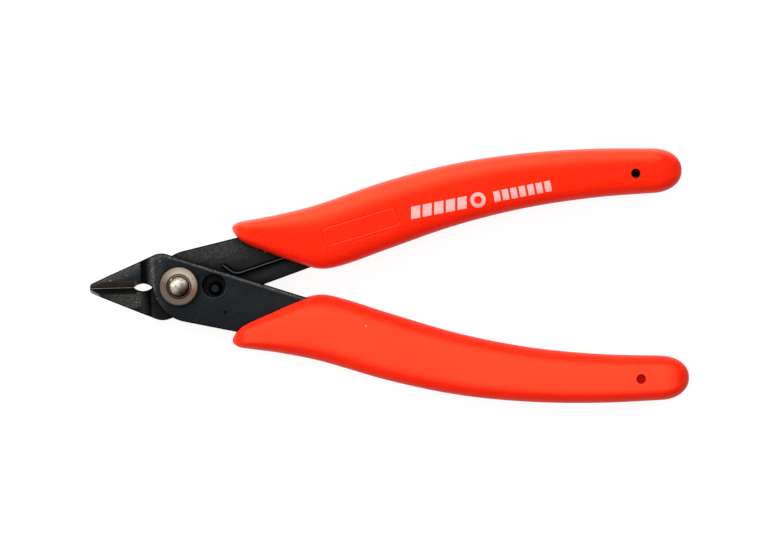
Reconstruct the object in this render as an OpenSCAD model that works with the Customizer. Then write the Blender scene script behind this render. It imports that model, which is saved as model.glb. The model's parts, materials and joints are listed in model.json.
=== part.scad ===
// Flush cut pliers for trimming plastic and soft wire.
//
// Two levers are pressed from steel sheet and cross on a riveted pivot. Ahead of the
// pivot each lever is jogged by half a sheet, so that the two jaws meet in one plane.
// Behind it each lever is a tang inside a moulded grip. A wire spring anchored in the
// rear lever pushes on the edge of the front lever and opens the jaws. A pin in the
// rear lever moves in a hole of the front lever and limits the opening.
//
// Lengths are millimetres. Every shape is drawn about the pivot axis, with the levers'
// parting plane at z = 0 and the jaws closed, and in_row() then moves it to the row
// frame, whose origin is the bottom centre of the closed tool's bounding box.
// The front lever holds the jaw on the +Y side and the handle on the -Y side.

/* [Levers] */
// Thickness of the steel sheet
sheet_t = 2.5; // [2.2:0.1:2.8]
// From the pivot axis to the tip of the jaws
jaw_len = 19.5; // [18.5:0.1:20.5]
// Slope of the jaw's outer edge
jaw_slope = 23; // [21:0.5:24]
// Slope of the lever's straight edge behind the pivot
edge_slope = 18.7; // [18:0.1:19.5]
// From the pivot axis to that straight edge
edge_offset = 5.865; // [5.7:0.005:6]
// Length of the jog between the body and the jaw
jog_len = 2.25; // [1.8:0.05:2.6]
// From the pivot axis to the start of the jog
jog_start = 6.1; // [6.05:0.05:6.4]

/* [Cutting edges] */
// Width of the bevel ground on each jaw
bevel_w = 1.45; // [1.1:0.05:1.7]
// Thickness left under the bevel at the cutting edge
edge_land = 0.1; // [0.05:0.05:0.3]
// Gap between the closed cutting edges
edge_gap = 0.02; // [0.02:0.01:0.06]
// Height of the relief opening behind the cutting edges
relief_h = 1.6; // [1.2:0.1:2]
// Length of the relief opening
relief_len = 4.12; // [3.6:0.01:4.4]

/* [Pivot and stop] */
// Diameter of the rivet's shank
pivot_d = 3.8; // [3.2:0.1:4.2]
// Diameter of the washers
washer_d = 8.2; // [7.6:0.1:9]
// Diameter of the hole that the stop pin moves in
stop_hole_d = 4.76; // [4.6:0.02:4.9]
// Diameter of the stop pin
stop_pin_d = 1.9; // [1.8:0.05:1.9]

/* [Spring] */
// Diameter of the spring wire
wire_d = 1; // [0.8:0.05:1.1]
// From the spring's bend to its anchor in the rear lever
spring_len = 27.5; // [26:0.5:28]

/* [Grips] */
// Thickness of the grips
grip_t = 9.6; // [9:0.1:11]
// From the pivot axis to the end of the handles
handle_len = 109.8; // [108:0.1:111]
// Share of a grip's half width that its rounded border takes
grip_round = 0.7; // [0.5:0.01:0.9]
// Diameter of the moulding pin's hole near the end of each grip
core_hole_d = 2.1; // [1.6:0.1:2.4]

/* [Hidden] */
$fn = 64;

steel_black = [0.13, 0.14, 0.15];
steel_plated = [0.72, 0.66, 0.58];
grip_red = [0.95, 0.16, 0.05];

cut = 0.5;            // how far a cutting shape runs past the surface it cuts
block = 20;           // size of a block that grinds a facet
slip = 0.02;          // half of the gap between the two levers
run_gap = 0.04;       // radial clearance of a shaft that turns in its hole
seat_gap = 0.01;      // radial clearance of a shaft that is fixed in its hole
pocket_gap = 0.02;    // clearance between a tang and its grip
arc_steps = 10;       // chords in a rounded corner

jog_end = jog_start + jog_len;
jog_under = 0.1;      // how much further forward the jog begins on the lap side
tip_r = 0.9;
tip_flat = 0.3;       // half height of the blunt end of the closed jaws
shoulder_r = 4;
nose_c = [2.8, 0.8];  // centre of the rounded nose that passes under the pivot
nose_r = 8.66;
belly_slope = -12.3;  // slope of the lever's outer edge behind the nose
tang_end = 103;
tang_r = 1.6;
tang_step = 3;        // spacing of the points along a tang

bevel_end = 0.54;     // from the relief opening's front end to the end of the bevel
bevel_end_lean = 30;
bevel_end_turn = 35;

washer_t = 1;
recess_r = 2.62;      // recess in the front washer that the rivet's head is formed in
recess_depth = 0.45;
dome_r = 2.28;
dome_h = 1.5;
rear_washer_t = 0.5;
rear_head_r = 3.1;
rear_head_t = 1.1;

stop_hole_x = 7.5;
stop_pin_at = polar(7.84, -5);   // distance and direction from the pivot
stop_pin_sink = 0.6;  // from the front lever's face down to the pin's end
pin_recess_r = 1.27;  // shallow recess in the rear lever round the pin
pin_recess_depth = 0.35;
dimple_at = [9.9, -5.85];
dimple_r = 0.36;
dimple_depth = 0.2;

wire_r = wire_d / 2;
wire_z = slip + 0.03 + wire_r;
wire_lap = 0.05;
bend_r = 2.3;
arm_angle = 17;       // direction of the spring's long arm
hook_angle = 143;     // direction of its short arm
hook_len = 2.1;
spring_swing = 7.5;   // room for the arm's swing as the jaws open
spring_gap = 0.03;    // from the wire to the front lever's edge
elbow_r = wire_z;     // bend at the anchor
leg_len = sheet_t - 0.2;
slot_gap = 0.12;      // clearance round the wire inside the rear grip
slot_reach = 22;

grip_half_t = grip_t / 2;
front_core_at = [99.2, -22.5];
front_core_depth = 1.9;
rear_core_at = [99.2, 21.85];
front_grip_x = [11.2, handle_len];         // both ends of each grip
rear_grip_x = [11.7, handle_len - 0.45];
nose_len = 2;         // length over which the front end of a grip closes
nose_thin = 4.5;      // length over which the front end grows to full thickness
tail_len = 6.2;       // length over which the rear end closes
end_power = 2.2;      // fullness of the closed ends, where 2 is an ellipse
border_power = 2.5;   // fullness of the rounded borders
end_open = 0.02;      // keeps the last sections from closing to a point

// Edges of the grips as [x, distance from the tool's centre line]. Near the pivot the
// rear grip leaves a little more of its lever bare than the front grip does.
grip_outer = [[11, 13.3], [15, 13.97], [21, 14.92], [30, 16.93], [45, 21.63],
              [60, 25.1], [75, 26.95], [90, 27.57], [105, 27.25], [112, 26.9]];
grip_inner = [[45, 6.8], [60, 11.6], [75, 14.97], [90, 16.87], [105, 17.65], [112, 17.9]];
front_inner = concat(
    [[11, 10.9], [13.6, 8.8], [20.5, 5.7], [27, 3.1], [31, 2.5], [36, 3.7]], grip_inner);
rear_inner = concat(
    [[11, 11.9], [13.8, 9.4], [20.5, 6.4], [27, 3.95], [31, 2.96], [36, 3.82]], grip_inner);

// Edges of a tang, inside its grip.
tang_outer = [[12, 10.11], [20, 11.9], [30, 14.2], [45, 18.7], [60, 22.2],
              [75, 24.1], [90, 24.9], [103, 24.7]];
tang_inner = [[28.6, 3.49], [32, 5.3], [38, 7.7], [45, 9.7], [60, 14.3],
              [75, 17.7], [90, 19.6], [103, 20.1]];

row_origin = [(handle_len - jaw_len) / 2, 0, -grip_half_t];

// ---------------------------------------------------------------- curves

function unit(v) = v / norm(v);
function polar(r, a) = r * [cos(a), sin(a)];

// Points on an arc from angle a0 to angle a1.
function arc(c, r, a0, a1, steps = arc_steps) =
    [for (i = [0:steps]) c + polar(r, a0 + (a1 - a0) * i / steps)];

// The corner b between its neighbours a and c, rounded to radius r.
function rounded_corner(a, b, c, r) =
    let (
        u = unit(a - b),
        v = unit(c - b),
        half = acos(u * v) / 2,
        centre = b + unit(u + v) * r / sin(half),
        start = b + u * r / tan(half) - centre,
        end = b + v * r / tan(half) - centre,
        a0 = atan2(start[1], start[0]),
        turn = (atan2(end[1], end[0]) - a0 + 540) % 360 - 180
    )
    arc(centre, r, a0, a0 + turn);

// Where the line through p at angle a meets the line through q at angle b.
function crossing(p, a, q, b) =
    let (t = ((q[0] - p[0]) * sin(b) - (q[1] - p[1]) * cos(b)) / sin(b - a))
    p + polar(t, a);

// A smooth curve through the points p, read at x.
function span_at(p, x, i = 0) =
    i >= len(p) - 2 || x < p[i + 1][0] ? i : span_at(p, x, i + 1);
function slope_at(p, i) =
    let (a = p[max(i - 1, 0)], b = p[min(i + 1, len(p) - 1)])
    (b[1] - a[1]) / (b[0] - a[0]);
function y_at(p, x) =
    let (
        i = span_at(p, x),
        h = p[i + 1][0] - p[i][0],
        t = (x - p[i][0]) / h
    )
    (2 * t ^ 3 - 3 * t ^ 2 + 1) * p[i][1] + (t ^ 3 - 2 * t ^ 2 + t) * h * slope_at(p, i)
    + (3 * t ^ 2 - 2 * t ^ 3) * p[i + 1][1] + (t ^ 3 - t ^ 2) * h * slope_at(p, i + 1);

// ---------------------------------------------------------------- levers

tip_corner = [-jaw_len, tip_flat + tip_r * (1 - sin(jaw_slope)) / cos(jaw_slope)];
edge_foot = polar(edge_offset, 90 - edge_slope);
shoulder = crossing(tip_corner, jaw_slope, edge_foot, -edge_slope);
edge_far = edge_foot + polar(nose_r, -edge_slope);
nose_left = nose_c[0] - sqrt(nose_r ^ 2 - (nose_c[1] - edge_gap / 2) ^ 2);
nose_from = 180 + asin((nose_c[1] - edge_gap / 2) / nose_r);
nose_to = 270 + belly_slope;

function tang_side(edge, g, xs) = [for (x = xs) [x, -y_at(edge, x) - g]];

// The front lever seen from the front. g widens the tang, to cut a grip's pocket.
function lever_outline(g = 0) =
    let (
        tail_in = [tang_end + g, -y_at(tang_inner, tang_end)],
        tail_out = [tang_end + g, -y_at(tang_outer, tang_end)],
        relief_r = (relief_len ^ 2 / 4 + relief_h ^ 2 / 4) / relief_h,
        relief_a = asin(relief_len / 2 / relief_r),
        relief_c = [nose_left - relief_len / 2, edge_gap / 2 + relief_h / 2 - relief_r]
    )
    concat(
        [[-jaw_len, edge_gap / 2]],
        rounded_corner([-jaw_len, 0], tip_corner, shoulder, tip_r),
        rounded_corner(tip_corner, shoulder, edge_far, shoulder_r),
        tang_side(tang_inner, -g, [for (x = [tang_inner[0][0]:tang_step:tang_end - tang_r]) x]),
        rounded_corner([0, tail_in[1]], tail_in, tail_out, tang_r),
        rounded_corner(tail_in, tail_out, [0, tail_out[1]], tang_r),
        tang_side(tang_outer, g, [for (x = [tang_end - tang_r:-tang_step:tang_outer[0][0]]) x]),
        arc(nose_c, nose_r, nose_to, nose_from, 16),
        arc(relief_c, relief_r, 90 - relief_a, 90 + relief_a)
    );

// The lever seen from its edge: the body on one side of z = 0 and the jaw astride it.
module jog_profile(body_low) {
    polygon([
        [handle_len, body_low], [handle_len, sheet_t],
        [-jog_start, sheet_t], [-jog_end, sheet_t / 2], [-jaw_len - cut, sheet_t / 2],
        [-jaw_len - cut, -sheet_t / 2], [-jog_end, -sheet_t / 2],
        [-jog_start - jog_under, body_low]
    ]);
}

module lever_blank() {
    intersection() {
        translate([0, 0, -2 * sheet_t])
            linear_extrude(4 * sheet_t)
                polygon(lever_outline());
        translate([0, handle_len / 2, 0])
            rotate([90, 0, 0])
                linear_extrude(handle_len)
                    jog_profile(slip);
    }
}

// A block on the -X side of a face through the origin.
module block_behind() {
    translate([-block, -block / 2, -block / 2]) cube(block);
}

// What grinding takes off the +Y jaw: the cutting bevel, which ends in a leaning face, and
// a facet that drops to the tip over its last tip_len and is turned towards the outer edge.
module jaw_grind(tip_len, tip_drop, tip_turn) {
    top = sheet_t / 2;
    edge_z = edge_land - top;
    rise = top - edge_z;
    intersection() {
        translate([-jaw_len - cut, 0, edge_z])
            rotate([90, 0, 90])
                linear_extrude(jaw_len)
                    polygon([[0, 0], [2 * bevel_w, 2 * rise], [-bevel_w, 2 * rise], [-bevel_w, 0]]);
        translate([nose_left - relief_len + bevel_end, bevel_w, top])
            rotate([0, bevel_end_lean, bevel_end_turn])
                block_behind();
    }
    translate([tip_len - jaw_len, bevel_w, top])
        rotate([0, 0, -tip_turn])
            rotate([0, -tip_drop, 0])
                translate([0, 0, block / 2])
                    block_behind();
}

module front_lever() {
    color(steel_black)
        difference() {
            lever_blank();
            jaw_grind(tip_len = 3.3, tip_drop = 35, tip_turn = 25);
            translate([0, 0, -cut]) cylinder(d = pivot_d + 2 * run_gap, h = sheet_t + 2 * cut);
            translate([stop_hole_x, 0, -cut]) cylinder(d = stop_hole_d, h = sheet_t + 2 * cut);
            translate([dimple_at[0], dimple_at[1], sheet_t - dimple_depth])
                cylinder(r1 = 0, r2 = 2 * dimple_r, h = 2 * dimple_depth);
        }
}

module rear_lever() {
    color(steel_black)
        difference() {
            rotate([180, 0, 0]) lever_blank();
            mirror([0, 1, 0]) jaw_grind(tip_len = 2.2, tip_drop = 45, tip_turn = 0);
            translate([0, 0, -sheet_t - cut])
                cylinder(d = pivot_d + 2 * seat_gap, h = sheet_t + 2 * cut);
            translate([stop_pin_at[0], stop_pin_at[1], -sheet_t - cut])
                cylinder(d = stop_pin_d + 2 * seat_gap, h = sheet_t + 2 * cut);
            translate([stop_pin_at[0], stop_pin_at[1], -slip - pin_recess_depth])
                cylinder(r = pin_recess_r, h = pin_recess_depth + cut);
            translate([anchor[0], anchor[1], -sheet_t - cut])
                cylinder(d = wire_d + 2 * run_gap, h = sheet_t + 2 * cut);
        }
}

// ---------------------------------------------------------------- pivot and stop

// A rivet with a flat rear head, whose front end is peened to a dome in the washer's recess.
module pivot_rivet() {
    shank_r = pivot_d / 2;
    head_z = -sheet_t - slip - rear_washer_t - slip;
    floor_z = sheet_t + slip + washer_t - recess_depth + slip;
    ball_r = (dome_r ^ 2 + dome_h ^ 2) / (2 * dome_h);
    dome_a = asin((ball_r - dome_h) / ball_r);
    edge = 0.3;
    color(steel_plated)
        rotate_extrude()
            polygon(concat(
                [[0, head_z - rear_head_t], [rear_head_r - edge, head_z - rear_head_t],
                 [rear_head_r, head_z - rear_head_t + edge], [rear_head_r, head_z],
                 [shank_r, head_z], [shank_r, floor_z]],
                arc([0, floor_z + dome_h - ball_r], ball_r, dome_a, 90, 12)
            ));
}

// The washer under the dome: flat on both faces, with a recess round its hole.
module front_washer() {
    low = sheet_t + slip;
    high = low + washer_t;
    inner_r = pivot_d / 2 + run_gap;
    outer_r = washer_d / 2;
    edge = 0.15;
    color(steel_plated)
        rotate_extrude()
            polygon([
                [inner_r, low], [outer_r, low], [outer_r, high - edge], [outer_r - edge, high],
                [recess_r + edge, high], [recess_r, high - edge],
                [recess_r, high - recess_depth], [inner_r, high - recess_depth]
            ]);
}

module rear_washer() {
    color(steel_plated)
        translate([0, 0, -sheet_t - slip - rear_washer_t])
            difference() {
                cylinder(d = washer_d, h = rear_washer_t);
                translate([0, 0, -cut])
                    cylinder(d = pivot_d + 2 * run_gap, h = rear_washer_t + 2 * cut);
            }
}

module stop_pin() {
    edge = 0.25;
    low = 0.1 - sheet_t;
    straight = sheet_t - stop_pin_sink - edge - low;
    color(steel_black)
        translate([stop_pin_at[0], stop_pin_at[1], low]) {
            cylinder(d = stop_pin_d, h = straight);
            translate([0, 0, straight])
                cylinder(d1 = stop_pin_d, d2 = stop_pin_d - 2 * edge, h = edge);
        }
}

// ---------------------------------------------------------------- spring

// The corner between the arms lies where the bend just clears the front lever's edge.
bend_half = (hook_angle - arm_angle) / 2;
bend_mid = (hook_angle + arm_angle) / 2;
edge_normal = 90 - edge_slope;
bend_to_corner = bend_r / sin(bend_half);
corner_reach = edge_offset + bend_r + wire_r + spring_gap
    - bend_to_corner * cos(bend_mid - edge_normal);
corner_x = 12.2;
corner = [corner_x, (corner_reach - corner_x * cos(edge_normal)) / sin(edge_normal)];
anchor = corner + polar(spring_len, arm_angle);
bend_centre = corner + polar(bend_to_corner, bend_mid);
arm_len = spring_len - bend_r / tan(bend_half);

// A straight length of wire along +Z, which laps a little into the bends at its ends.
module wire_length(h) {
    translate([0, 0, -wire_lap])
        cylinder(d = wire_d, h = h + 2 * wire_lap, $fn = 32);
}

// A bend of the wire, a hair thinner than the straight lengths so that they can lap into it.
module wire_bend(r, a) {
    rotate_extrude(angle = a)
        translate([r, 0])
            circle(d = wire_d - 0.01, $fn = 32);
}

// Drawn about the centre of the bend, from which the long arm runs towards -Y.
module return_spring() {
    turn = 180 - 2 * bend_half;
    color(steel_black)
        translate([bend_centre[0], bend_centre[1], wire_z])
            rotate([0, 0, arm_angle + 90])
                mirror([1, 0, 0]) {
                    wire_bend(bend_r, turn);
                    rotate([0, 0, turn])
                        translate([bend_r, 0, 0])
                            rotate([-90, 0, 0])
                                wire_length(hook_len);
                    translate([bend_r, 0, 0])
                        rotate([90, 0, 0])
                            wire_length(arm_len - elbow_r);
                    translate([bend_r, elbow_r - arm_len, -elbow_r])
                        rotate([0, -90, 180])
                            wire_bend(elbow_r, 90);
                    translate([bend_r, -arm_len, -elbow_r - leg_len])
                        wire_length(leg_len);
                }
}

// ---------------------------------------------------------------- grips

// How far a grip's section has opened at distance d inside an end that closes over length l.
function closing(d, l) =
    let (share = (d + end_open) / l)
    share >= 1 ? 1 : (1 - (1 - share) ^ end_power) ^ (1 / end_power);

// A sine or cosine drawn out to the fullness of the rounded borders.
function fuller(v) = sign(v) * abs(v) ^ (2 / border_power);

// One section at x of a grip between ends[0] and ends[1]: a rounded rectangle standing on
// its own centre line.
function grip_ring(x, ends, inner_edge, steps = 6) =
    let (
        tail = closing(ends[1] - x, tail_len),
        open = min(closing(x - ends[0], nose_len), tail),
        thick = min(closing(x - ends[0], nose_thin), tail),
        outer = y_at(grip_outer, x),
        inner = y_at(inner_edge, x),
        mid = (outer + inner) / 2,
        half_w = (outer - inner) / 2 * open,
        round_w = grip_round * half_w,
        half_t = grip_half_t * thick
    )
    [for (q = [0:3]) for (i = [0:steps])
        let (
            a = 90 * q + 90 * i / steps,
            side = q == 0 || q == 3 ? 1 : -1
        )
        [x, mid + side * (half_w - round_w) + round_w * fuller(cos(a)), half_t * fuller(sin(a))]];

// Sections close up towards both ends.
function grip_stations(ends) = concat(
    [for (a = [0:15:75]) ends[0] + nose_thin * (1 - cos(a))],
    [for (x = [ends[0] + nose_thin:2.2:ends[1] - tail_len - 1]) x],
    [for (a = [0:13:78]) ends[1] - tail_len * (1 - sin(a))],
    [ends[1]]
);

// A grip on the +Y side, solid, as a skin over its sections.
module grip_body(ends, inner_edge) {
    rings = [for (x = grip_stations(ends)) grip_ring(x, ends, inner_edge)];
    n = len(rings[0]);
    last = len(rings) - 1;
    polyhedron(
        points = [for (r = rings) each r],
        faces = concat(
            [[for (i = [0:n - 1]) i]],
            [[for (i = [n - 1:-1:0]) last * n + i]],
            [for (k = [0:last - 1]) for (i = [0:n - 1])
                let (j = (i + 1) % n)
                each [[k * n + i, (k + 1) * n + i, (k + 1) * n + j],
                      [k * n + i, (k + 1) * n + j, k * n + j]]]
        ),
        convexity = 6
    );
}

module tang_pocket() {
    translate([0, 0, slip - pocket_gap])
        linear_extrude(sheet_t - slip + 2 * pocket_gap)
            polygon(lever_outline(pocket_gap));
}

module core_hole(at, depth) {
    translate([at[0], at[1], grip_half_t - depth])
        cylinder(d = core_hole_d, h = depth + cut);
}

module front_grip() {
    color(grip_red)
        difference() {
            mirror([0, 1, 0]) grip_body(front_grip_x, front_inner);
            tang_pocket();
            core_hole(front_core_at, front_core_depth);
        }
}

// The space that the spring's arm needs between the tang and the grip.
module spring_slot() {
    room = wire_r + slot_gap;
    translate([0, 0, -cut]) {
        linear_extrude(wire_z + room + cut)
            polygon([
                anchor + polar(room, arm_angle + 90),
                anchor + polar(slot_reach, arm_angle + 180) + polar(room, arm_angle + 90),
                anchor + polar(slot_reach, arm_angle + 180 + spring_swing) + polar(room, arm_angle - 90),
                anchor + polar(room, arm_angle - 90 + spring_swing)
            ]);
        translate([anchor[0], anchor[1], 0])
            cylinder(r = room, h = wire_z + room + cut);
    }
}

module rear_grip() {
    color(grip_red)
        difference() {
            grip_body(rear_grip_x, rear_inner);
            rotate([180, 0, 0]) tang_pocket();
            spring_slot();
            core_hole(rear_core_at, grip_half_t);
        }
}

// ---------------------------------------------------------------- the tool

module in_row() {
    translate(-row_origin) children();
}

in_row() front_lever();
in_row() rear_lever();
in_row() pivot_rivet();
in_row() front_washer();
in_row() rear_washer();
in_row() stop_pin();
in_row() return_spring();
in_row() front_grip();
in_row() rear_grip();
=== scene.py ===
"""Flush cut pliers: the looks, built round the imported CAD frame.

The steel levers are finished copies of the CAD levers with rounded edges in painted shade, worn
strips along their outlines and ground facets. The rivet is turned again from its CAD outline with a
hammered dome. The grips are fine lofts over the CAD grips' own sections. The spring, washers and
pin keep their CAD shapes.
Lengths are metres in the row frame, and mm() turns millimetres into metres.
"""

import json
import math

import bmesh
import bpy
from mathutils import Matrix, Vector, noise
from mathutils.bvhtree import BVHTree

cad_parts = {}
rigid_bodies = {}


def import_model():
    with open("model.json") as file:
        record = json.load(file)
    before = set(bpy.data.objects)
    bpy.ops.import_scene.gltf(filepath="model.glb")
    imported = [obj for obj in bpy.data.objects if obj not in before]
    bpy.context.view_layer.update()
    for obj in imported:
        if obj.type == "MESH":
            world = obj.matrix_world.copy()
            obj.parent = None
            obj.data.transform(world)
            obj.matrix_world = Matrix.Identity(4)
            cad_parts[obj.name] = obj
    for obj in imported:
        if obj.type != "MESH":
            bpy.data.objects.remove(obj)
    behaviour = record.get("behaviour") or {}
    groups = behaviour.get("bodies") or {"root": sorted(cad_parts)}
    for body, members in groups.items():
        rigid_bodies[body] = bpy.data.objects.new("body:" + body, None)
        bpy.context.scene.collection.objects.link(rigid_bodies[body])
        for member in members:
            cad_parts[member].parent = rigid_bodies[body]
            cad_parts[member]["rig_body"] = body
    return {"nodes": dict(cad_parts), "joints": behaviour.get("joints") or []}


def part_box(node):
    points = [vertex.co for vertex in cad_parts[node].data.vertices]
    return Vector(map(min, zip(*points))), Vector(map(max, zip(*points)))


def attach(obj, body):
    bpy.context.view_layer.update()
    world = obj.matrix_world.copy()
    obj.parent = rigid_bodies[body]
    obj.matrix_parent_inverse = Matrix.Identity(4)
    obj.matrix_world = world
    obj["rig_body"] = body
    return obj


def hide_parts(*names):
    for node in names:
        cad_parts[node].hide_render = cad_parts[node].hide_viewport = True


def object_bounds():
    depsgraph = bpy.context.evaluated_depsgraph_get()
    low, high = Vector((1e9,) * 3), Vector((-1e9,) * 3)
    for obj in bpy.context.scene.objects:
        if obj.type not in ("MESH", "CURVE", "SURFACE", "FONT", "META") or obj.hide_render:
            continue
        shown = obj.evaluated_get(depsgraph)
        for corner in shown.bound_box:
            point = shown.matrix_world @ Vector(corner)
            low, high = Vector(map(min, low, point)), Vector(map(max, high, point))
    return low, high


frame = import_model()
cad_low, cad_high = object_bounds()


def mm(x):
    """Millimetres as metres."""
    return x * 0.001


JOINTS = {j["name"]: j for j in frame["joints"]}
PIVOT = Vector(JOINTS["pivot"]["pos_m"])
ANCHOR = Vector(JOINTS["spring_flex"]["pos_m"])
SPRING_SWING = math.radians(JOINTS["spring_flex"]["range_deg"][1])
PARTING_Z = PIVOT.z
LAP_Z = (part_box("front_lever")[0].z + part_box("rear_lever")[1].z) / 2


# ---------------------------------------------------------------- node materials


class Nodes:
    """A material's node tree, written as expressions."""

    def __init__(self, name):
        self.material = bpy.data.materials.new(name)
        self.material.use_nodes = True
        self.tree = self.material.node_tree
        self.tree.nodes.clear()
        self.output = self.tree.nodes.new("ShaderNodeOutputMaterial")

    def node(self, kind, inputs=None, **settings):
        """A shader node with some of its inputs and settings filled in."""
        made = self.tree.nodes.new("ShaderNode" + kind)
        for key, value in settings.items():
            setattr(made, key, value)
        for key, value in (inputs or {}).items():
            self.put(made.inputs[key], value)
        return made

    def put(self, socket, value):
        """Links a socket to another, or sets its value."""
        if isinstance(value, bpy.types.NodeSocket):
            self.tree.links.new(value, socket)
        elif socket.type == "RGBA" and len(value) == 3:
            socket.default_value = (*value, 1.0)
        else:
            socket.default_value = value

    def math(self, operation, a, b=0.0, clamp=False):
        made = self.node("Math", {0: a, 1: b}, operation=operation)
        made.use_clamp = clamp
        return made.outputs[0]

    def vector_math(self, operation, a, b=(0, 0, 0), out="Vector"):
        made = self.node("VectorMath", {0: a, 1: b}, operation=operation)
        return made.outputs[out]

    def place(self):
        """Position in the object's own space, which is the row frame at rest, in metres."""
        return self.node("TexCoord").outputs["Object"]

    def axis(self, vector, name):
        return self.node("SeparateXYZ", {0: vector}).outputs[name]

    def noise(self, vector, scale, detail=3.0, roughness=0.5):
        """Noise with scale cells to the metre."""
        made = self.node("TexNoise", {"Vector": vector, "Scale": scale, "Detail": detail,
                                      "Roughness": roughness})
        return made.outputs["Fac"]

    def ramp(self, value, low, high, to_low=0.0, to_high=1.0):
        """value mapped from low..high to to_low..to_high, clamped."""
        made = self.node("MapRange", {0: value, 1: low, 2: high, 3: to_low, 4: to_high})
        return made.outputs[0]

    def mix(self, share, a, b):
        made = self.tree.nodes.new("ShaderNodeMix")
        made.data_type = "RGBA"
        self.put(made.inputs[0], share)
        self.put(made.inputs[6], a)
        self.put(made.inputs[7], b)
        return made.outputs[2]

    def open_sky(self, reach):
        """1 in the open, less where other surfaces stand within reach."""
        return self.node("AmbientOcclusion", {"Distance": reach}, samples=8).outputs["AO"]

    def bump(self, height, distance, strength):
        made = self.node("Bump", {"Height": height, "Distance": distance, "Strength": strength})
        return made.outputs[0]

    def surface(self, **inputs):
        """A Principled surface whose input names are given with _ for spaces."""
        shader = self.node("BsdfPrincipled")
        for key, value in inputs.items():
            self.put(shader.inputs[key.replace("_", " ")], value)
        self.tree.links.new(shader.outputs[0], self.output.inputs[0])
        return self.material


def from_pivot(n):
    """Position from the pivot, in the plane of the tool, in metres."""
    offset = n.vector_math("SUBTRACT", n.place(), tuple(PIVOT))
    return n.vector_math("MULTIPLY", offset, (1.0, 1.0, 0.0))


CORE = 0.35      # share of a worn strip's width that is fully worn


def strip(n, direction, reach, half_width):
    """1 along a straight line, given by its direction and distance from the pivot, 0 beside it."""
    a = math.radians(direction)
    across = n.vector_math("DOT_PRODUCT", from_pivot(n), (math.cos(a), math.sin(a), 0.0), "Value")
    aside = n.math("ABSOLUTE", n.math("SUBTRACT", across, mm(reach)))
    return n.ramp(aside, mm(CORE * half_width), mm(half_width), 1.0, 0.0)


def rim_band(n, centre_x, radius, width):
    """1 along the lower half of a round hole's rim, 0 outside."""
    offset = n.vector_math("SUBTRACT", from_pivot(n), (mm(centre_x), 0.0, 0.0))
    near = n.ramp(n.vector_math("LENGTH", offset, out="Value"),
                  mm(radius + CORE * width), mm(radius + width), 1.0, 0.0)
    return n.math("MULTIPLY", near, n.ramp(n.axis(offset, "Y"), mm(-0.5 * radius), mm(0.6), 1.0, 0.0))


WORN_STEEL = (0.150, 0.145, 0.134)
SPECK = (0.40, 0.38, 0.33)
SLATE, CHARCOAL, SHADE_BLACK = (0.0082, 0.0106, 0.0122), (0.0014, 0.0026, 0.0036), (0.0006, 0.0009, 0.0012)
HATCH_GREY = (0.034, 0.034, 0.031)
CORNER_SHADE_BLACK = (0.0004, 0.0004, 0.0004)
HATCH_PITCH = mm(0.42)
HATCH_NORMAL = (math.cos(math.radians(55)), math.sin(math.radians(55)), 0.0)


def black_oxide(name, dark, light, strips=(), rims=(), shade_strips=(), hatched=False, sheen=0.10):
    """Blackened sheet steel, mottled and dusted with specks, rubbed lighter along some lines.

    A strip is (direction, reach, half_width, strength), a rim (centre_x, radius, width, strength),
    and the third list holds strips of painted shade, along which the steel is darker instead.
    """
    n = Nodes(name)
    p = n.place()
    cloud = n.noise(p, 260.0, 5.0, 0.6)
    grain = n.noise(p, 5200.0, 2.0, 0.5)
    flecks = n.noise(p, 2300.0, 3.0, 0.7)
    mottle = n.math("ADD", n.math("MULTIPLY", cloud, 0.35), n.math("MULTIPLY", flecks, 0.65))
    colour = n.mix(n.ramp(mottle, 0.38, 0.64), dark, light)
    if hatched:
        across = n.vector_math("DOT_PRODUCT", p, HATCH_NORMAL, "Value")
        wander = n.math("MULTIPLY", cloud, 2.5)
        phase = n.math("ADD", n.math("MULTIPLY", across, 2 * math.pi / HATCH_PITCH), wander)
        hatch = n.ramp(n.math("SINE", phase), -0.4, 1.0)
        broken = n.ramp(n.noise(p, 1500.0, 3.0, 0.6), 0.35, 0.65, 0.3, 1.0)
        colour = n.mix(n.math("MULTIPLY", n.math("MULTIPLY", hatch, broken), 0.42), colour, HATCH_GREY)
    patchy = n.math("MULTIPLY", n.ramp(n.noise(p, 3000.0, 3.0, 0.7), 0.42, 0.62, 0.1, 1.0),
                    n.ramp(n.noise(p, 700.0, 2.0, 0.5), 0.35, 0.6, 0.65, 1.0))
    worn = [n.math("MULTIPLY", strip(n, *line[:3]), line[3]) for line in strips]
    worn += [n.math("MULTIPLY", rim_band(n, *rim[:3]), rim[3]) for rim in rims]
    rubbed = 0.0
    for share in worn:
        rubbed = n.math("MAXIMUM", rubbed, share)
    rubbed = n.math("MULTIPLY", rubbed, patchy, clamp=True)
    colour = n.mix(rubbed, colour, WORN_STEEL)
    # Painted shade along the given strips.
    for line in shade_strips:
        colour = n.mix(n.math("MULTIPLY", strip(n, *line[:3]), line[3]), colour, SHADE_BLACK)
    # Painted shade: corners and the ground beside other pieces are darkened.
    for reach, closed, open_share in ((2.5, 0.35, 0.95), (0.8, 0.45, 0.90)):
        colour = n.mix(n.ramp(n.open_sky(mm(reach)), closed, open_share), CORNER_SHADE_BLACK, colour)
    # A few bright specks, where the finish is chipped or dusty.
    cell = n.node("TexVoronoi", {"Vector": p, "Scale": 1100.0})
    near = n.ramp(cell.outputs["Distance"], 0.06, 0.20, 1.0, 0.0)
    rare = n.math("SUBTRACT", 0.975, n.math("MULTIPLY", rubbed, 0.25))
    chosen = n.math("GREATER_THAN", n.axis(cell.outputs["Color"], "X"), rare)
    colour = n.mix(n.math("MULTIPLY", n.math("MULTIPLY", near, chosen), 0.6), colour, SPECK)
    return n.surface(
        Base_Color=colour,
        Roughness=n.ramp(cloud, 0.3, 0.7, 0.46, 0.6),
        Specular_IOR_Level=sheen,
        Normal=n.bump(grain, mm(0.012), 0.5),
    )


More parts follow.
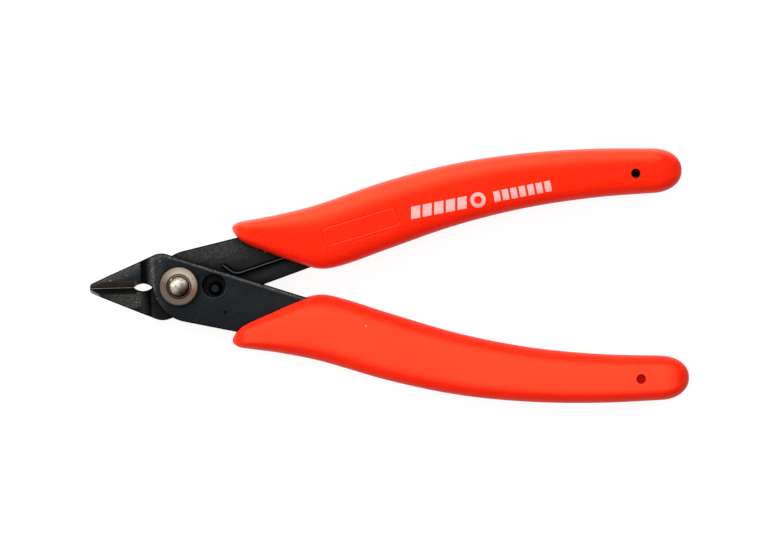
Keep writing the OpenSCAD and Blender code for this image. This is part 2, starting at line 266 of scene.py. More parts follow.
def ground_steel(name, colour, light, direction):
    """A ground facet in the given colours, with fine marks across it."""
    n = Nodes(name)
    p = n.place()
    marks = n.noise(n.vector_math("MULTIPLY", p, direction), 1.0, 3.0, 0.6)
    tone = n.mix(n.ramp(marks, 0.3, 0.75), colour, light)
    return n.surface(
        Base_Color=tone,
        Metallic=0.85,
        Roughness=n.ramp(marks, 0.2, 0.8, 0.3, 0.5),
        Normal=n.bump(marks, mm(0.01), 0.5),
    )


NICKEL, NICKEL_GROOVE, NICKEL_LIT = (0.150, 0.120, 0.095), (0.060, 0.045, 0.034), (0.42, 0.35, 0.28)
TARNISH, GRIP_RED_REFLECTION, CREVICE_SHADE = (0.09, 0.06, 0.04), (0.17, 0.052, 0.026), (0.016, 0.008, 0.005)
REFLECTION_AT = (mm(3.1), mm(-1.3), 0.0)      # from the pivot


def turned_nickel(name):
    """Plated washer steel with fine turning rings round the pivot, painted light, shade and reflection.
    """
    n = Nodes(name)
    flat = from_pivot(n)
    radius = n.vector_math("LENGTH", flat, out="Value")
    rings = n.noise(n.node("CombineXYZ", {0: n.math("MULTIPLY", radius, 5200.0)}).outputs[0],
                    1.0, 3.0, 0.7)
    cloud = n.noise(n.place(), 420.0, 4.0, 0.6)
    colour = n.mix(n.ramp(rings, 0.35, 0.65), NICKEL_GROOVE, NICKEL)
    # Painted sheen: lighter on the side towards the light, most near the rivet.
    outward = n.vector_math("NORMALIZE", flat)
    lit = n.ramp(n.vector_math("DOT_PRODUCT", outward, (0.37, 0.93, 0.0), "Value"), -0.2, 0.9)
    sheen = n.math("MULTIPLY", lit, n.ramp(radius, mm(2.7), mm(4.1), 1.0, 0.35))
    colour = n.mix(sheen, colour, NICKEL_LIT)
    colour = n.mix(n.math("MULTIPLY", n.ramp(cloud, 0.45, 0.75), 0.4), colour, TARNISH)
    # Painted reflection of the red grip, in a patch to the lower right of the pivot.
    from_reflection = n.vector_math("SUBTRACT", flat, REFLECTION_AT)
    stain_and_reflection = n.ramp(n.vector_math("LENGTH", from_reflection, out="Value"), mm(0.3), mm(1.9), 0.55, 0.0)
    colour = n.mix(n.math("MULTIPLY", stain_and_reflection, n.ramp(cloud, 0.3, 0.6)), colour, GRIP_RED_REFLECTION)
    # Painted shade where other surfaces stand close, as round the rivet.
    colour = n.mix(n.ramp(n.open_sky(mm(0.8)), 0.45, 0.97), CREVICE_SHADE, colour)
    return n.surface(
        Base_Color=colour,
        Metallic=1.0,
        Roughness=n.ramp(rings, 0.3, 0.7, 0.30, 0.44),
        Normal=n.bump(rings, mm(0.012), 0.7),
    )


BRIGHT, BLOTCH, SHADE_BROWN = (0.52, 0.47, 0.39), (0.20, 0.155, 0.115), (0.055, 0.034, 0.021)
DOME_CREVICE_SHADE = (0.02, 0.010, 0.006)


def peened_nickel(name):
    """The rivet: bright plating, blotched, with painted shade in brown on the side away from the light.
    """
    n = Nodes(name)
    p = n.place()
    stain_and_reflection = n.noise(p, 900.0, 4.0, 0.65)
    colour = n.mix(n.ramp(stain_and_reflection, 0.42, 0.66), BRIGHT, BLOTCH)
    # Painted shade in brown on the side away from the light.
    shaded = n.vector_math("DOT_PRODUCT", from_pivot(n), (0.60, -0.80, 0.0), "Value")
    colour = n.mix(n.ramp(shaded, mm(-0.1), mm(1.9)), colour, SHADE_BROWN)
    # Painted shade where other surfaces stand close, as at the dome's foot.
    colour = n.mix(n.ramp(n.open_sky(mm(0.5)), 0.35, 0.9), DOME_CREVICE_SHADE, colour)
    return n.surface(
        Base_Color=colour,
        Metallic=1.0,
        Roughness=n.ramp(stain_and_reflection, 0.3, 0.8, 0.32, 0.46),
        Normal=n.bump(n.noise(p, 2600.0, 3.0, 0.6), mm(0.02), 0.5),
    )


def black_wire(name):
    """Drawn spring wire, oiled black, with a painted grey highlight along the crest of the wire."""
    n = Nodes(name)
    p = n.place()
    drawn = n.noise(n.vector_math("MULTIPLY", p, (900.0, 4500.0, 4500.0)), 1.0, 2.0, 0.5)
    black = n.mix(drawn, (0.0006, 0.0006, 0.0007), (0.0016, 0.0016, 0.0018))
    # Painted highlight: grey where the wire's surface faces straight up.
    crest_highlight = n.ramp(n.axis(n.node("NewGeometry").outputs["Normal"], "Z"), 0.95, 0.995)
    return n.surface(
        Base_Color=n.mix(crest_highlight, black, (0.060, 0.060, 0.058)),
        Roughness=n.ramp(drawn, 0.3, 0.7, 0.34, 0.46),
        Specular_IOR_Level=0.0,
        Normal=n.bump(drawn, mm(0.006), 0.5),
    )


RED, SHEEN_RED = (0.92, 0.0125, 0.0012), (0.93, 0.052, 0.020)
HAZY_LIT_SIDE, PLAIN_LIT_SIDE = (0.80, 0.115, 0.075), (0.80, 0.020, 0.008)
SHADED_SIDE, CREVICE_SHADE_RED = (0.62, 0.0085, 0.0006), (0.58, 0.0030, 0.0060)
FLOW_RED, GRAIN_RED, DUST = (0.7, 0.0, 0.0), (0.95, 0.060, 0.024), (0.9, 0.7, 0.6)
TOWARD_LIGHT = (-0.5, 0.87, 0.0)


def moulded_plastic(name, facing, spread, lit_side):
    """Orange-red moulded plastic with a fine spark-eroded grain, flow marks and white dust.

    It has a painted sheen, paler where it faces one direction, over a range of the cosine given by
    spread. Seen at a grazing angle it has painted light, the tone lit_side, towards the light and
    painted shade, a darker red, away from it.
    """
    n = Nodes(name)
    p = n.place()
    normal = n.node("NewGeometry").outputs["Normal"]
    toward = n.vector_math("DOT_PRODUCT", normal, tuple(Vector(facing).normalized()), "Value")
    # Painted sheen: paler where the surface faces the given direction.
    tone = n.mix(n.ramp(toward, *spread), RED, SHEEN_RED)
    # Painted light and shade at grazing angles: the lit tone towards the light, a darker red away from
    # it.
    lit = n.vector_math("DOT_PRODUCT", normal, TOWARD_LIGHT, "Value")
    side = n.mix(n.ramp(lit, -0.2, 0.6), SHADED_SIDE, lit_side)
    grazing = n.node("LayerWeight", {"Blend": 0.5}).outputs["Facing"]
    tone = n.mix(n.ramp(grazing, 0.2, 0.8), tone, side)
    flow = n.noise(n.vector_math("MULTIPLY", p, (60.0, 150.0, 150.0)), 1.0, 3.0, 0.5)
    tone = n.mix(n.math("MULTIPLY", n.ramp(flow, 0.35, 0.7), 0.12), tone, FLOW_RED)
    grain = n.noise(p, 2400.0, 3.0, 0.65)
    tone = n.mix(n.ramp(grain, 0.35, 0.65, 0.0, 0.24), tone, GRAIN_RED)
    # Painted shade: grooves, holes and the joint with the steel are darkened to a deeper red.
    tone = n.mix(n.ramp(n.open_sky(mm(1.6)), 0.35, 0.85), CREVICE_SHADE_RED, tone)
    cell = n.node("TexVoronoi", {"Vector": p, "Scale": 420.0})
    near = n.ramp(cell.outputs["Distance"], 0.03, 0.09, 1.0, 0.0)
    dust = n.math("MULTIPLY", near, n.math("GREATER_THAN", n.axis(cell.outputs["Color"], "Y"), 0.988))
    return n.surface(
        Base_Color=n.mix(dust, tone, DUST),
        Roughness=n.ramp(grain, 0.3, 0.7, 0.40, 0.50),
        Specular_IOR_Level=0.07,
        Specular_Tint=(1.0, 0.66, 0.30),
        Normal=n.bump(grain, mm(0.012), 0.7),
    )


def pad_print(name):
    """Thin pinkish white ink, slightly uneven."""
    n = Nodes(name)
    thin = n.noise(n.place(), 1500.0, 3.0, 0.6)
    return n.surface(
        Base_Color=n.mix(n.ramp(thin, 0.4, 0.75), (0.68, 0.37, 0.35), (0.67, 0.30, 0.28)),
        Roughness=0.5,
    )


# ---------------------------------------------------------------- mesh helpers


def new_object(name, bm, materials):
    mesh = bpy.data.meshes.new(name)
    bm.to_mesh(mesh)
    bm.free()
    obj = bpy.data.objects.new(name, mesh)
    bpy.context.scene.collection.objects.link(obj)
    for material in materials:
        mesh.materials.append(material)
    return obj


def add_piece(obj, node):
    """obj stands for a CAD node and moves with that node's body."""
    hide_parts(node)
    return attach(obj, frame["nodes"][node]["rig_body"])


def welded_copy(node):
    """The CAD node's mesh as a bmesh with shared vertices and merged flat faces."""
    bm = bmesh.new()
    bm.from_mesh(frame["nodes"][node].data)
    bmesh.ops.remove_doubles(bm, verts=bm.verts, dist=mm(0.002))
    bmesh.ops.dissolve_degenerate(bm, edges=bm.edges, dist=mm(0.001))
    bmesh.ops.dissolve_limit(bm, angle_limit=math.radians(0.6), verts=bm.verts, edges=bm.edges)
    bm.normal_update()
    return bm


def shade_by_angle(bm, degrees):
    """Smooth faces, with sharp edges where two faces meet at more than the angle."""
    for face in bm.faces:
        face.smooth = True
    for edge in bm.edges:
        edge.smooth = len(edge.link_faces) == 2 and edge.calc_face_angle(0.0) < math.radians(degrees)


def cut_with(obj, cutters):
    """obj minus the cutters, as its own final mesh."""
    for cutter in cutters:
        change = obj.modifiers.new("cut", "BOOLEAN")
        change.operation = "DIFFERENCE"
        change.solver = "EXACT"
        change.object = cutter
    graph = bpy.context.evaluated_depsgraph_get()
    made = bpy.data.meshes.new_from_object(obj.evaluated_get(graph))
    obj.modifiers.clear()
    obj.data = made
    for cutter in cutters:
        bpy.data.objects.remove(cutter)


def disc_points(centre, radius, z, count=24):
    """Points round a level circle."""
    for i in range(count):
        a = 2 * math.pi * i / count
        yield Vector((centre.x + radius * math.cos(a), centre.y + radius * math.sin(a), z))


def hull_object(name, points):
    """The convex hull of the points, without a material."""
    bm = bmesh.new()
    for point in points:
        bm.verts.new(point)
    result = bmesh.ops.convex_hull(bm, input=bm.verts)
    loose = [v for v in result["geom_interior"] if isinstance(v, bmesh.types.BMVert)]
    bmesh.ops.delete(bm, geom=loose, context="VERTS")
    bmesh.ops.recalc_face_normals(bm, faces=bm.faces)
    return new_object(name, bm, [])


# ---------------------------------------------------------------- levers

EDGE_ROUND = mm(0.24)
BEHIND_JAW = mm(8.0)                # the cutting bevels lie further from the pivot than this
TIP_LENGTH = mm(4.6)
BLACK, GROUND, TIP, EDGE_SHADE, JOG = range(5)
# The z part of a facet's normal tells the ground bevel, the ground tip and the jog apart.
BEVEL_FACING, TIP_FACING, JOG_FACING = (0.4, 0.6), (0.6, 0.9), (0.8, 0.95)


def within(value, limits):
    return limits[0] < value < limits[1]


def finished_lever(node, materials):
    """The CAD lever with rounded outline edges and its ground facets in bare steel."""
    bm = welded_copy(node)
    jaw_x = PIVOT.x - BEHIND_JAW
    tip_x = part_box(node)[0].x + TIP_LENGTH
    for face in bm.faces:
        facing, x = face.normal.z, face.calc_center_median().x
        if x < jaw_x and within(facing, BEVEL_FACING):
            face.material_index = GROUND
        elif x < tip_x and within(facing, TIP_FACING):
            face.material_index = TIP
        elif x < 0 and within(facing, JOG_FACING):
            face.material_index = JOG
        else:
            face.material_index = BLACK

    def rounded(edge):
        """An outline edge that isn't a cutting edge or the edge of a ground bevel."""
        if len(edge.link_faces) != 2 or edge.calc_face_angle(0.0) < math.radians(40):
            return False
        a, b = sorted(edge.link_faces, key=lambda f: abs(f.normal.z))
        middle = (edge.verts[0].co + edge.verts[1].co) / 2
        cutting = middle.x < jaw_x and abs(middle.y) < mm(0.2)
        if cutting or GROUND in (a.material_index, b.material_index):
            return False
        return abs(a.normal.z) < 0.05 and abs(b.normal.z) > 0.8

    edges = [e for e in bm.edges if rounded(e)]
    # The rounded edges take the darker edge material: painted shade.
    bmesh.ops.bevel(bm, geom=edges, offset=EDGE_ROUND, offset_type="OFFSET", segments=3, profile=0.5,
                    affect="EDGES", clamp_overlap=False, loop_slide=True, material=EDGE_SHADE)
    bm.normal_update()
    shade_by_angle(bm, 28)
    obj = new_object(node + "_steel", bm, materials)
    return add_piece(obj, node)


# ---------------------------------------------------------------- rivet


def lathe_profile(node, axis_point):
    """The (radius, z) outline of a turned CAD node with no hole, from its bottom to its top."""
    rings = {}
    for v in frame["nodes"][node].data.vertices:
        r = math.hypot(v.co.x - axis_point.x, v.co.y - axis_point.y)
        rings.setdefault(round(v.co.z, 6), set()).add(round(r, 6))
    profile, last = [], 0.0
    for z in sorted(rings):
        radii = sorted(rings[z])
        if abs(radii[0] - last) > abs(radii[-1] - last):
            radii.reverse()
        kept = [radii[0]] + [r for r in radii[1:] if abs(r - radii[0]) > mm(0.02)]
        profile += [(kept[0], z)] + ([(kept[-1], z)] if len(kept) > 1 else [])
        last = profile[-1][0]
    return profile


DENT_DEPTH, DENT_SCALE = mm(0.07), 800    # scale in dents to the metre
RIVET_STEP = mm(0.16)


def peened_rivet(material, segments=96):
    """The rivet, turned from the CAD outline, with shallow hammer facets on its dome."""
    profile = lathe_profile("pivot_rivet", PIVOT)
    dome_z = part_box("front_washer")[1].z - mm(0.3)
    fine = []
    for (r0, z0), (r1, z1) in zip(profile, profile[1:]):
        steps = max(1, round(math.hypot(r1 - r0, z1 - z0) / RIVET_STEP))
        fine += [(r0 + (r1 - r0) * i / steps, z0 + (z1 - z0) * i / steps) for i in range(steps)]
    fine.append(profile[-1])
    bm = bmesh.new()
    rings = []
    for r, z in fine:
        ring = []
        for i in range(segments if r > mm(0.02) else 1):
            a = 2 * math.pi * i / segments
            point = Vector((PIVOT.x + r * math.cos(a), PIVOT.y + r * math.sin(a), z))
            if z > dome_z:
                outward = Vector((math.cos(a) * r, math.sin(a) * r, mm(2.5))).normalized()
                point -= outward * DENT_DEPTH * (0.5 + noise.noise(point * DENT_SCALE))
            ring.append(bm.verts.new(point))
        rings.append(ring)
    for a, b in zip(rings, rings[1:]):
        for i in range(segments):
            j = (i + 1) % segments
            corners = [a[i % len(a)], a[j % len(a)], b[j % len(b)], b[i % len(b)]]
            unique = list(dict.fromkeys(corners))
            if len(unique) > 2:
                bm.faces.new(unique)
    for ring in (rings[0], rings[-1]):
        if len(ring) > 1:
            bm.faces.new(ring)
    bmesh.ops.recalc_face_normals(bm, faces=bm.faces)
    shade_by_angle(bm, 38)
    obj = new_object("pivot_rivet_peened", bm, [material])
    return add_piece(obj, "pivot_rivet")


# ---------------------------------------------------------------- grips

RING_ANGLE = math.radians(15)       # between the points of the CAD grip's sections
BORDER_POWER = 2 / 2.5              # makes the rounded borders as full as the CAD grip's
SKIN = mm(0.03)                     # the visible skin lies this far inside the CAD skin
SUBSTEPS = 3                        # visible sections to each CAD section
GROOVE = mm(0.05)                   # depth of the parting groove
POCKET_GAP = mm(0.02)
# The moulding pins' holes: x and y from the pivot, and depth.
CORE_HOLES = {"front_grip": (mm(99.2), mm(-22.5), mm(1.9)),
              "rear_grip": (mm(99.2), mm(21.85), mm(4.9))}
CORE_HOLE_R = mm(1.05)


def fuller(value):
    """A sine or cosine drawn out to the fullness of the grips' rounded borders."""
    return math.copysign(abs(value) ** BORDER_POWER, value)


def cad_sections(node):
    """The CAD grip's sections as (x, low edge, low flat, high flat, high edge, half height)."""
    clear = 1 if node == "rear_grip" else -1
    stations = {}
    for v in frame["nodes"][node].data.vertices:
        point = (round(v.co.y, 6), round(v.co.z - PARTING_Z, 6))
        stations.setdefault(round(v.co.x, 6), set()).add(point)
    sections = []
    for x in sorted(stations):
        points = [(y, clear * z) for y, z in stations[x] if clear * z > mm(0.05)]
        if len(points) < 10:
            continue
        half_t = max(z for _, z in points)
        top = [y for y, z in points if z > half_t - mm(0.002)]
        low_z = half_t * fuller(math.sin(RING_ANGLE))
        side = [y for y, z in points if abs(z - low_z) < mm(0.01) + half_t * 0.01]
        if len(side) < 2:
            continue
        spread = fuller(math.cos(RING_ANGLE))
        low = min(top) + (min(side) - min(top)) / spread
        high = max(top) + (max(side) - max(top)) / spread
        sections.append((x, low, min(top), max(top), high, half_t))
    return sections


def catmull(values, u):
    """A smooth curve through rows of numbers, read at a fractional row u."""
    i = min(int(u), len(values) - 2)
    t = u - i
    p = [values[max(0, min(len(values) - 1, k))] for k in (i - 1, i, i + 1, i + 2)]
    return [0.5 * (2 * b + (c - a) * t + (2 * a - 5 * b + 4 * c - d) * t * t
                   + (3 * b - a - 3 * c + d) * t ** 3) for a, b, c, d in zip(*p)]


def section_points(row, count=15):
    """The outline of one section, with a fine parting groove at mid height."""
    x, low, low_flat, high_flat, high, half_t = row
    near = [0.0, 0.3, 0.7]
    quarter = near + [near[-1] + (90 - near[-1]) * (i / count) for i in range(1, count + 1)]
    angles = quarter + [180 - a for a in reversed(quarter[:-1])]
    angles += [180 + a for a in quarter[1:]] + [360 - a for a in reversed(quarter[1:-1])]
    for degrees in angles:
        a = math.radians(degrees)
        flat, edge = (high_flat, high - SKIN) if math.cos(a) >= 0 else (low_flat, low + SKIN)
        reach = abs(edge - flat)
        if min(abs(degrees - k) for k in (0, 180, 360)) < 0.5:
            reach = max(reach - GROOVE, 0.0)
        yield Vector((x, flat + reach * fuller(math.cos(a)),
                      PARTING_Z + (half_t - SKIN) * fuller(math.sin(a))))


def grip_loft(name, sections, material):
    """A closed skin over the sections, smoothed from one to the next."""
    rows = [catmull(sections, k / SUBSTEPS) for k in range((len(sections) - 1) * SUBSTEPS + 1)]
    bm = bmesh.new()
    rings = [[bm.verts.new(p) for p in section_points(row)] for row in rows]
    for a, b in zip(rings, rings[1:]):
        for i in range(len(a)):
            j = (i + 1) % len(a)
            bm.faces.new((a[i], a[j], b[j], b[i]))
    bm.faces.new(rings[0])
    bm.faces.new(rings[-1])
    bmesh.ops.recalc_face_normals(bm, faces=bm.faces)
    return new_object(name, bm, [material])


def tang_cutter(lever):
    """The lever, a hair larger, to cut its own pocket."""
    bm = welded_copy(lever)
    for v in bm.verts:
        v.co += v.normal * POCKET_GAP
    return new_object("tang_cutter", bm, [])


def core_hole_cutter(node):
    """The moulding pin's hole near the end of a grip."""
    x, y, depth = CORE_HOLES[node]
    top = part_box(node)[1].z
    centre = PIVOT + Vector((x, y, 0))
    points = list(disc_points(centre, CORE_HOLE_R, top + mm(1), 40))
    points += list(disc_points(centre, CORE_HOLE_R, top - depth, 40))
    return hull_object("core_hole_cutter", points)


def spring_slot_cutter():
    """The space that the spring's long arm sweeps inside the rear grip."""
    wire_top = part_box("return_spring")[1].z
    straight_from, straight_to, slot_reach = mm(20), mm(26.8), mm(22)
    ridge = [v.co for v in frame["nodes"]["return_spring"].data.vertices
             if v.co.z > wire_top - mm(0.003)
             and straight_from < (v.co.xy - ANCHOR.xy).length < straight_to]
    arm_end = sum(ridge, Vector()) / len(ridge)
    rest = math.atan2(arm_end.y - ANCHOR.y, arm_end.x - ANCHOR.x)
    top = wire_top + mm(0.12)
    half_width = mm(0.62)
    points = []
    for angle in (rest, rest + SPRING_SWING + math.radians(0.5)):
        end = ANCHOR + Vector((math.cos(angle), math.sin(angle), 0)) * slot_reach
        for centre in (ANCHOR, end):
            for z in (LAP_Z - mm(0.6), top):
                points += list(disc_points(centre, half_width, z))
    return hull_object("spring_slot_cutter", points)


def finished_grip(node, lever, material):
    """The grip, lofted again and cut for its tang, its moulding pin, its spring and its mark."""
    sections = cad_sections(node)
    obj = grip_loft(node + "_moulding", sections, material)
    cutters = [tang_cutter(lever), core_hole_cutter(node)]
    if node == "rear_grip":
        cutters += [spring_slot_cutter(), label_cutter(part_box(node)[1].z - SKIN)]
    cut_with(obj, cutters)
    bm = bmesh.new()
    bm.from_mesh(obj.data)
    shade_by_angle(bm, 32)
    bm.to_mesh(obj.data)
    bm.free()
    return add_piece(obj, node)


# ---------------------------------------------------------------- marks

LABEL_SLOPE, PRINT_SLOPE = math.radians(15.3), math.radians(9.6)
LABEL_AT = PIVOT + Vector((mm(39.6), mm(11.9), 0))
PRINT_AT = PIVOT + Vector((mm(66.3), mm(17.2), 0))
LABEL_DEPTH, LABEL_HALF_WIDTH = mm(0.13), mm(0.2)
INK_SINK, INK_RISE, INK_STEP = mm(0.03), mm(0.018), mm(0.16)


def placed(at, slope, u, v):
    """The point u along and v across a mark, in the plane of the tool."""
    return Vector((at.x + u * math.cos(slope) - v * math.sin(slope),
                   at.y + u * math.sin(slope) + v * math.cos(slope)))


def slab(bm, top, bottom):
    """A closed slab between two grids of points with the same rows and columns."""
    rows, columns = len(top), len(top[0])
    upper = [[bm.verts.new(p) for p in row] for row in top]
    lower = [[bm.verts.new(p) for p in row] for row in bottom]
    for i in range(rows - 1):
        for j in range(columns - 1):
            bm.faces.new((upper[i][j], upper[i + 1][j], upper[i + 1][j + 1], upper[i][j + 1]))
            bm.faces.new((lower[i][j], lower[i][j + 1], lower[i + 1][j + 1], lower[i + 1][j]))
    border = [(i, 0) for i in range(rows)] + [(rows - 1, j) for j in range(1, columns)]
    border += [(i, columns - 1) for i in range(rows - 2, -1, -1)]
    border += [(0, j) for j in range(columns - 2, 0, -1)]
    for (i, j), (k, l) in zip(border, border[1:] + border[:1]):
        bm.faces.new((upper[i][j], lower[i][j], lower[k][l], upper[k][l]))


def rounded_frame(half_u, half_v, radius, steps=8):
    """The (u, v) points of a rounded frame's centre line, each with its outward direction."""
    for corner, (side_u, side_v) in enumerate(((1, 1), (-1, 1), (-1, -1), (1, -1))):
        for i in range(steps + 1):
            a = math.radians(90 * corner + 90 * i / steps)
            out = (math.cos(a), math.sin(a))
            yield ((side_u * (half_u - radius) + radius * out[0],
                    side_v * (half_v - radius) + radius * out[1]), out)


def vee_groove(bm, path, closed, top_z):
    """A wedge along a path, to cut a V-shaped groove LABEL_DEPTH deep below top_z."""
    above = 2
    rings = []
    for (u, v), (out_u, out_v) in path:
        ring = []
        for side, height in ((1, above), (0, -1), (-1, above)):
            reach = side * LABEL_HALF_WIDTH * (1 + above)
            flat = placed(LABEL_AT, LABEL_SLOPE, u + out_u * reach, v + out_v * reach)
            ring.append(bm.verts.new((*flat, top_z + height * LABEL_DEPTH)))
        rings.append(ring)
    for ring, following in zip(rings, rings[1:] + (rings[:1] if closed else [])):
        for i in range(3):
            bm.faces.new((ring[i], ring[i - 1], following[i - 1], following[i]))
    if not closed:
        bm.faces.new(rings[0])
        bm.faces.new(rings[-1])


def label_cutter(top_z):
    """A plain rounded frame with a line under it, in place of the moulded lettering."""
    bm = bmesh.new()
    frame_path = list(rounded_frame(half_u=mm(8.4), half_v=mm(1.9), radius=mm(1.1)))
    vee_groove(bm, frame_path, True, top_z)
    line_start, line_end, upward = (mm(-2.9), mm(-2.7)), (mm(8.4), mm(-2.7)), (0, 1)
    vee_groove(bm, [(line_start, upward), (line_end, upward)], False, top_z)
    bmesh.ops.recalc_face_normals(bm, faces=bm.faces)
    return new_object("label_cutter", bm, [])


def print_block(u, width, height, slant):
    """A slanted block of ink as a fine grid of (u, v)."""
    columns, rows = round(width / INK_STEP), max(2, round(height / INK_STEP))
    return [[(u + width * i / columns + slant * (j / rows - 0.5), height * (j / rows - 0.5))
             for j in range(rows + 1)] for i in range(columns + 1)]


def print_ring(u, outer, inner, count=72, steps=6):
    """A ring of ink as a grid of (u, v) that closes on itself."""
    for i in range(count + 1):
        a = 2 * math.pi * (i % count) / count
        radii = [outer + (inner - outer) * j / steps for j in range(steps + 1)]
        yield [(u + r * math.cos(a), r * math.sin(a)) for r in radii]


def print_shapes():
    """The plain print: slanted blocks, a ring, and a row of narrow blocks."""
    for k in range(5):
        yield print_block(mm(-16.0 + 2.55 * k), width=mm(2.0), height=mm(2.6), slant=mm(0.5))
    yield list(print_ring(mm(-1.3), outer=mm(1.65), inner=mm(0.85)))
    for k in range(7):
        yield print_block(mm(2.2 + 1.86 * k), width=mm(1.35), height=mm(2.3), slant=0.0)


def pad_printing(grip, material):
    """Ink slabs laid on the grip's skin."""
    graph = bpy.context.evaluated_depsgraph_get()
    skin = BVHTree.FromObject(grip, graph)
    bm = bmesh.new()
    for grid in print_shapes():
        flat = [[placed(PRINT_AT, PRINT_SLOPE, u, v) for u, v in row] for row in grid]
        base = [[skin.ray_cast(Vector((*q, 1.0)), Vector((0, 0, -1)))[0] for q in row] for row in flat]
        rise, sink = Vector((0, 0, INK_RISE)), Vector((0, 0, INK_SINK))
        slab(bm, [[q + rise for q in row] for row in base], [[q - sink for q in row] for row in base])
    bmesh.ops.remove_doubles(bm, verts=bm.verts, dist=mm(0.0005))
    # The ring closes on itself, so the two walls where its ends meet are dropped.
    inner = [f for f in bm.faces if all(len(e.link_faces) > 2 for e in f.edges)]
    bmesh.ops.delete(bm, geom=inner, context="FACES")
    bmesh.ops.recalc_face_normals(bm, faces=bm.faces)
    obj = new_object("rear_grip_print", bm, [material])
    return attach(obj, frame["nodes"]["rear_grip"]["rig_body"])


# ---------------------------------------------------------------- stage


def make_stage():
    """A pale paper floor, which glows a little so that it stays pale round the tool."""
    bm = bmesh.new()
    bmesh.ops.create_grid(bm, x_segments=1, y_segments=1, size=1.5)
    n = Nodes("floor_paper")
    paper = n.surface(Base_Color=(0.14, 0.14, 0.14), Roughness=0.9, Specular_IOR_Level=0.1,
                      Emission_Color=(1.0, 1.0, 1.0), Emission_Strength=0.90)
    floor = new_object("floor", bm, [paper])
    floor.location.z = cad_low.z - mm(0.01)


def area_light(name, position, size, radiance):
    """A softbox that faces the middle of the tool."""
    data = bpy.data.lights.new(name, "AREA")
    data.shape = "RECTANGLE"
    data.size, data.size_y = size
    data.energy = radiance * math.pi * size[0] * size[1]
    lamp = bpy.data.objects.new(name, data)
    lamp.location = position
    lamp.rotation_euler = Vector(position).to_track_quat("Z", "Y").to_euler()
    bpy.context.scene.collection.objects.link(lamp)


def make_lights():
    """A pale room, brightest to the upper left and dim straight above, with two softboxes."""
    world = bpy.data.worlds.new("studio")
    world.use_nodes = True
    tree = world.node_tree
    direction = tree.nodes.new("ShaderNodeTexCoord").outputs["Generated"]

    def ramp(axis, values):
        """values are low, high, to_low and to_high for the direction's part along the axis."""
        dot = tree.nodes.new("ShaderNodeVectorMath")
        dot.operation = "DOT_PRODUCT"
        dot.inputs[1].default_value = axis
        tree.links.new(direction, dot.inputs[0])
        made = tree.nodes.new("ShaderNodeMapRange")
        for i, value in enumerate(values, 1):
            made.inputs[i].default_value = value
        tree.links.new(dot.outputs["Value"], made.inputs[0])
        return made.outputs[0]

    strength = tree.nodes.new("ShaderNodeMath")
    strength.operation = "MULTIPLY"
    tree.links.new(ramp((-0.62, 0.78, 0.0), (-0.9, 0.9, 0.12, 2.40)), strength.inputs[0])
    tree.links.new(ramp((0.0, 0.0, 1.0), (0.70, 0.95, 1.0, 0.35)), strength.inputs[1])
    tree.links.new(strength.outputs[0], tree.nodes["Background"].inputs[1])
    tree.nodes["Background"].inputs[0].default_value = (1.0, 1.0, 1.0, 1.0)
    bpy.context.scene.world = world
    area_light("overhead", (-0.05, 0.14, 1.0), (0.5, 0.36), 2.6)
    area_light("key_upper_left", (-0.55, 0.62, 0.62), (0.5, 0.5), 7.0)


def make_camera():
    """Straight above the closed tool, turned a little."""
    height, field_width, roll = mm(900), mm(169.0), math.radians(-1.47)
    data = bpy.data.cameras.new("camera")
    data.sensor_width = 36.0
    data.lens = data.sensor_width * height / field_width
    data.clip_start, data.clip_end = 0.01, 10.0
    camera = bpy.data.objects.new("camera", data)
    middle = (cad_low + cad_high) / 2
    camera.location = middle + Vector((mm(0.48), mm(0.87), height))
    camera.rotation_euler = (0.0, 0.0, roll)
    bpy.context.scene.collection.objects.link(camera)
    bpy.context.scene.camera = camera
    bpy.context.scene.view_settings.view_transform = "Standard"


# ---------------------------------------------------------------- build

ALONG_JAW, ACROSS_JAW = (300.0, 2500.0, 2500.0), (2500.0, 600.0, 600.0)

# Rubbed along its upper outline, at the jog, along its jaw and round the pin's hole.
front_oxide = black_oxide(
    "oxide_front", CHARCOAL, SLATE,
    strips=[(71.3, 5.5, 0.5, 0.75), (180.0, 5.6, 0.6, 0.70), (180.0, 4.6, 2.2, 0.14),
            (113.0, 8.6, 2.6, 0.42)],
    rims=[(7.5, 2.38, 0.45, 0.6)])
# Rubbed along its upper outline and on its jaw; painted shade at the jog beside the front lever's nose,
# and a painted shadow under the spring's long arm.
rear_oxide = black_oxide(
    "oxide_rear", (0.0026, 0.0034, 0.0040), (0.0068, 0.0078, 0.0082),
    strips=[(102.3, 6.2, 4.5, 0.22), (180.0, 11.0, 6.0, 0.34)],
    shade_strips=[(180.0, 4.5, 2.6, 0.6), (287.0, 2.0, 0.7, 0.9)],
    hatched=True)
# Painted shade: the rounded outline edges are darker than the faces.
edge_shade_oxide = black_oxide("oxide_edge", SHADE_BLACK, CHARCOAL, sheen=0.02)
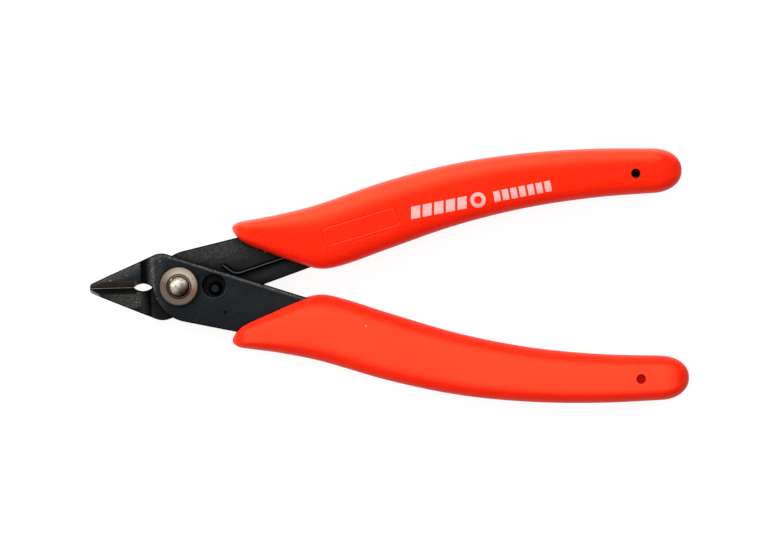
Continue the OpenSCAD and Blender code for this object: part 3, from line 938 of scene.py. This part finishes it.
# The front jog: rubbed lighter at its start and darkened further out with painted shade.
jog_oxide = black_oxide("oxide_jog", CHARCOAL, SLATE, strips=[(180.0, 5.9, 1.2, 0.3)],
                        shade_strips=[(180.0, 8.0, 2.0, 0.97)], sheen=0.01)
# The rear jog faces away from the key light: a lighter copy of the oxide paints light on it, fading
# through painted shade towards the body beside the front lever's nose.
rear_jog_oxide = black_oxide("oxide_rear_jog", (0.012, 0.012, 0.011), (0.045, 0.045, 0.041),
                             shade_strips=[(180.0, 4.9, 3.6, 0.97)], sheen=0.02)
# The cutting bevels are lit and shaded copies of one ground steel: painted light in brown on the upper
# bevel, painted shade in black on the lower.
lit_bevel_brown = ground_steel("ground_bevel_upper", (0.17, 0.115, 0.08), (0.32, 0.24, 0.175), ALONG_JAW)
shaded_bevel_black = ground_steel("ground_bevel_lower", (0.006, 0.006, 0.006), (0.03, 0.027, 0.024), ALONG_JAW)
tip_dark = ground_steel("ground_tip_upper", (0.010, 0.008, 0.006), (0.035, 0.028, 0.022), ACROSS_JAW)
tip_bare = ground_steel("ground_tip_lower", (0.10, 0.08, 0.062), (0.20, 0.165, 0.13), ACROSS_JAW)
finished_lever("front_lever", [front_oxide, lit_bevel_brown, tip_dark, edge_shade_oxide, jog_oxide])
finished_lever("rear_lever", [rear_oxide, shaded_bevel_black, tip_bare, edge_shade_oxide, rear_jog_oxide])

nickel = turned_nickel("turned_nickel")
peened_rivet(peened_nickel("peened_nickel"))
for washer in ("front_washer", "rear_washer"):
    frame["nodes"][washer].material_slots[0].material = nickel
frame["nodes"]["stop_pin"].material_slots[0].material = black_oxide("oxide_pin", CHARCOAL, SLATE)
frame["nodes"]["return_spring"].material_slots[0].material = black_wire("black_wire")

# Each grip's plastic has a painted sheen where it faces the given direction, and painted light and
# shade at grazing angles.
finished_grip("front_grip", "front_lever",
              moulded_plastic("plastic_front", (0.0, 0.0, 1.0), (0.86, 0.995), PLAIN_LIT_SIDE))
rear_grip = finished_grip("rear_grip", "rear_lever",
                          moulded_plastic("plastic_rear", (-0.2, 0.42, 0.9), (0.885, 0.99), HAZY_LIT_SIDE))
pad_printing(rear_grip, pad_print("pad_print"))

make_stage()
make_lights()
make_camera()
